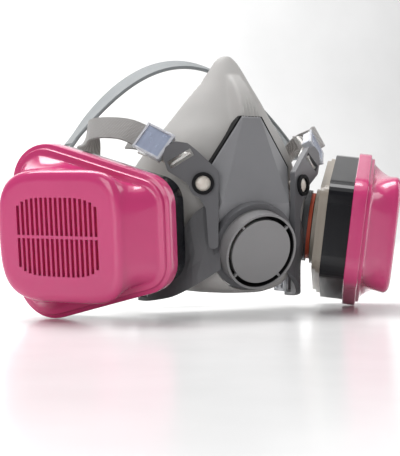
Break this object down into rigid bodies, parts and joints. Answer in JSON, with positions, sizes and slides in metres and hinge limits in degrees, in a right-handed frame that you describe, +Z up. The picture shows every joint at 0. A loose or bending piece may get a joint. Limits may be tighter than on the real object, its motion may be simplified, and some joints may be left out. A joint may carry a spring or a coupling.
{
  "type": "half-face respirator",
  "caption": "Half-face respirator: soft hollow facepiece, round exhalation valve, side filter cartridges on bayonet ports, yoke, buckles, crown band and neck strap.",
  "frame": {"origin": "centre of the bounding box in X and Y, at the level that the lowest rim corners stand on", "axes": "+Z up, -Y the way the mask faces, +X the wearer's left"},
  "size_m": [0.2532, 0.1139, 0.1452],
  "materials": {
    "facepiece": "soft matte grey rubber",
    "shield": "satin grey plastic",
    "valve_grey": "satin mid grey plastic",
    "yoke": "satin dark grey plastic",
    "pin": "glossy cream plastic",
    "grommet": "black rubber",
    "port": "dark grey plastic",
    "gasket": "orange rubber",
    "flap": "thin pale silicone",
    "base": "beige moulded plastic",
    "canister": "glossy black label band",
    "carbon": "packed carbon grains",
    "grid": "white plastic grid",
    "media": "fibrous filter media",
    "cover": "glossy magenta plastic",
    "buckle": "clear bluish moulded plastic",
    "webbing": "light grey woven elastic",
    "band": "flexible grey moulded band",
    "clasp": "dark grey plastic"
  },
  "bodies": {
    "mask": {"facepiece": "facepiece", "front_shield": "shield", "valve_seat": "valve_grey", "valve_cover": "valve_grey", "yoke": "yoke", "yoke_pin_left": "pin", "pin_grommet_left": "grommet", "port_left": "port", "port_gasket_left": "gasket", "upper_buckle_left": "buckle", "strap_tail_left": "webbing", "lower_buckle_left": "buckle", "yoke_pin_right": "pin", "pin_grommet_right": "grommet", "port_right": "port", "port_gasket_right": "gasket", "upper_buckle_right": "buckle", "strap_tail_right": "webbing", "lower_buckle_right": "buckle"},
    "exhalation_flap": {"exhalation_valve": "flap"},
    "inhalation_flap_left": {"inhalation_valve_left": "flap"},
    "inhalation_flap_right": {"inhalation_valve_right": "flap"},
    "cartridge_left": {"cartridge_base_left": "base", "canister_left": "canister", "carbon_bed_left": "carbon", "retaining_grid_left": "grid", "particle_filter_left": "media", "cartridge_cover_left": "cover"},
    "cartridge_right": {"cartridge_base_right": "base", "canister_right": "canister", "carbon_bed_right": "carbon", "retaining_grid_right": "grid", "particle_filter_right": "media", "cartridge_cover_right": "cover"},
    "head_harness": {"upper_strap_left": "webbing", "upper_strap_right": "webbing", "crown_band": "band"},
    "neck_harness": {"neck_strap_left": "webbing", "neck_strap_right": "webbing", "neck_hook": "clasp", "neck_loop": "clasp"}
  },
  "joints": [
    {"name": "exhalation_lift", "type": "slide", "parent": "mask", "child": "exhalation_flap", "axis": [0, -0.9511, -0.309], "range_m": [0, 0.0015], "stiffness_N_per_m": 20},
    {"name": "inhalation_lift_left", "type": "slide", "parent": "mask", "child": "inhalation_flap_left", "axis": [-0.7984, 0.5908, 0.1167], "range_m": [0, 0.0012], "stiffness_N_per_m": 20},
    {"name": "cartridge_twist_left", "type": "hinge", "parent": "mask", "child": "cartridge_left", "pos_m": [0.0561, -0.01185, 0.0482], "axis": [0.7984, -0.5908, -0.1167], "range_deg": [0, 90]},
    {"name": "inhalation_lift_right", "type": "slide", "parent": "mask", "child": "inhalation_flap_right", "axis": [0.7984, 0.5908, 0.1167], "range_m": [0, 0.0012], "stiffness_N_per_m": 20},
    {"name": "cartridge_twist_right", "type": "hinge", "parent": "mask", "child": "cartridge_right", "pos_m": [-0.0561, -0.01185, 0.0482], "axis": [-0.7984, -0.5908, -0.1167], "range_deg": [0, 90]},
    {"name": "head_harness_swing", "type": "hinge", "parent": "mask", "child": "head_harness", "pos_m": [0, -0.01565, 0.0955], "axis": [1, 0, 0], "range_deg": [-12, 60]},
    {"name": "neck_harness_swing", "type": "hinge", "parent": "mask", "child": "neck_harness", "pos_m": [0, 0.01135, 0.018], "axis": [1, 0, 0], "range_deg": [-8, 30]}
  ]
}
